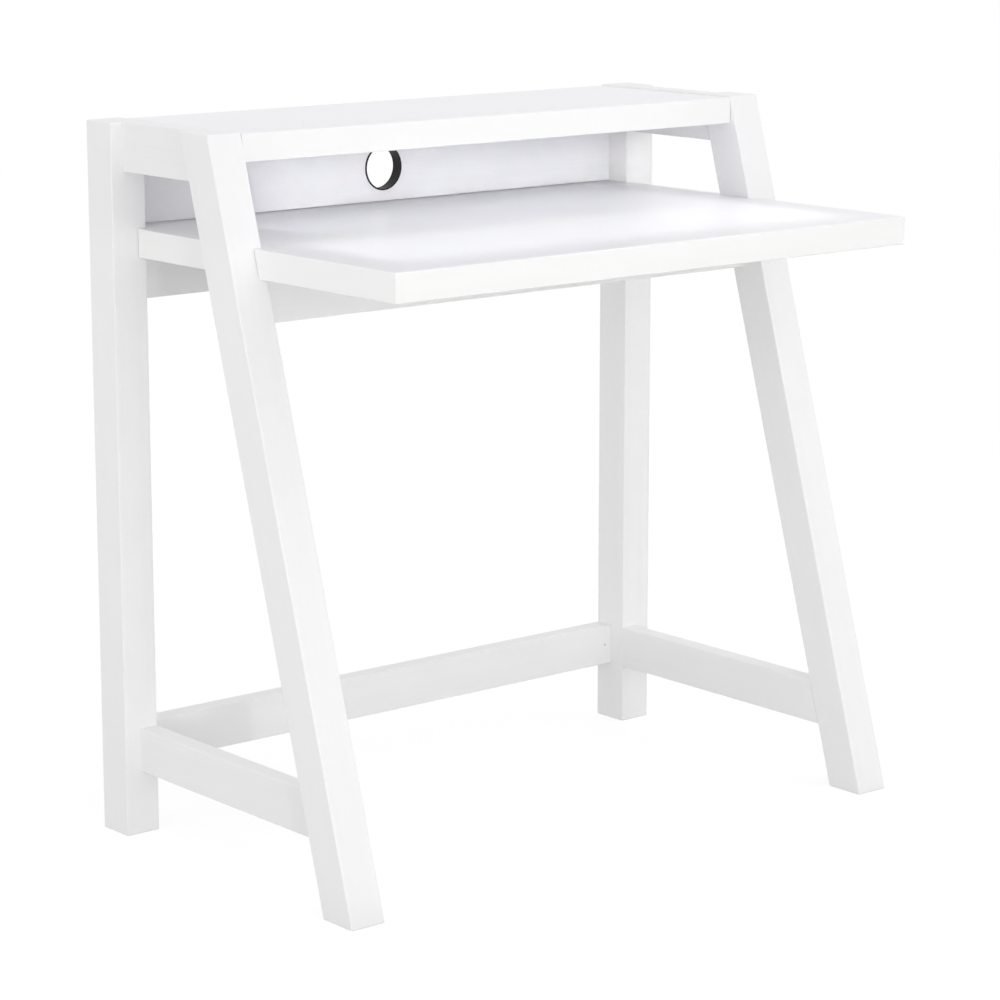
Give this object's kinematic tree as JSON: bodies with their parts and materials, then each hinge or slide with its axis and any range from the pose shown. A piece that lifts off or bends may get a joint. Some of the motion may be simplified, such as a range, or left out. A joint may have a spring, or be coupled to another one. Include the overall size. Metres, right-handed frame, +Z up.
{
  "type": "writing desk",
  "caption": "White writing desk with A-shaped side frames, sloping front legs, overhanging desktop, upper shelf and backboard with a cable hole.",
  "frame": {"origin": "on the floor, under the middle of the desk's outer box", "axes": "+X the desk's right seen from the front, -Y the front, where a person sits, +Z up"},
  "size_m": [0.8762, 0.5588, 0.889],
  "materials": {
    "painted_wood": "smooth satin white paint",
    "white_panel": "satin white with a faint fine grain",
    "black_plastic": "satin black moulding",
    "bare_dowel": "bare turned wood",
    "zinc_plated_steel": "bright zinc plate",
    "painted_pin": "dull grey paint",
    "cast_zinc": "grey die-cast"
  },
  "bodies": {
    "root": {"left_rear_leg": "painted_wood", "right_rear_leg": "painted_wood", "left_front_leg": "painted_wood", "right_front_leg": "painted_wood", "left_top_rail": "painted_wood", "right_top_rail": "painted_wood", "left_lower_stretcher": "painted_wood", "right_lower_stretcher": "painted_wood", "rear_lower_stretcher": "painted_wood", "rear_apron": "painted_wood", "front_apron": "painted_wood", "desktop": "white_panel", "top_shelf": "white_panel", "backboard": "white_panel", "cable_grommet": "black_plastic", "side_frame_dowels": "bare_dowel", "apron_dowels": "bare_dowel", "shelf_dowels": "bare_dowel", "backboard_dowels": "bare_dowel", "pinned_dowels": "bare_dowel", "cam_bolts": "zinc_plated_steel", "desktop_brackets": "zinc_plated_steel", "bracket_screws": "zinc_plated_steel", "stretcher_pins": "painted_pin", "cam_locks": "cast_zinc"}
  },
  "joints": []
}
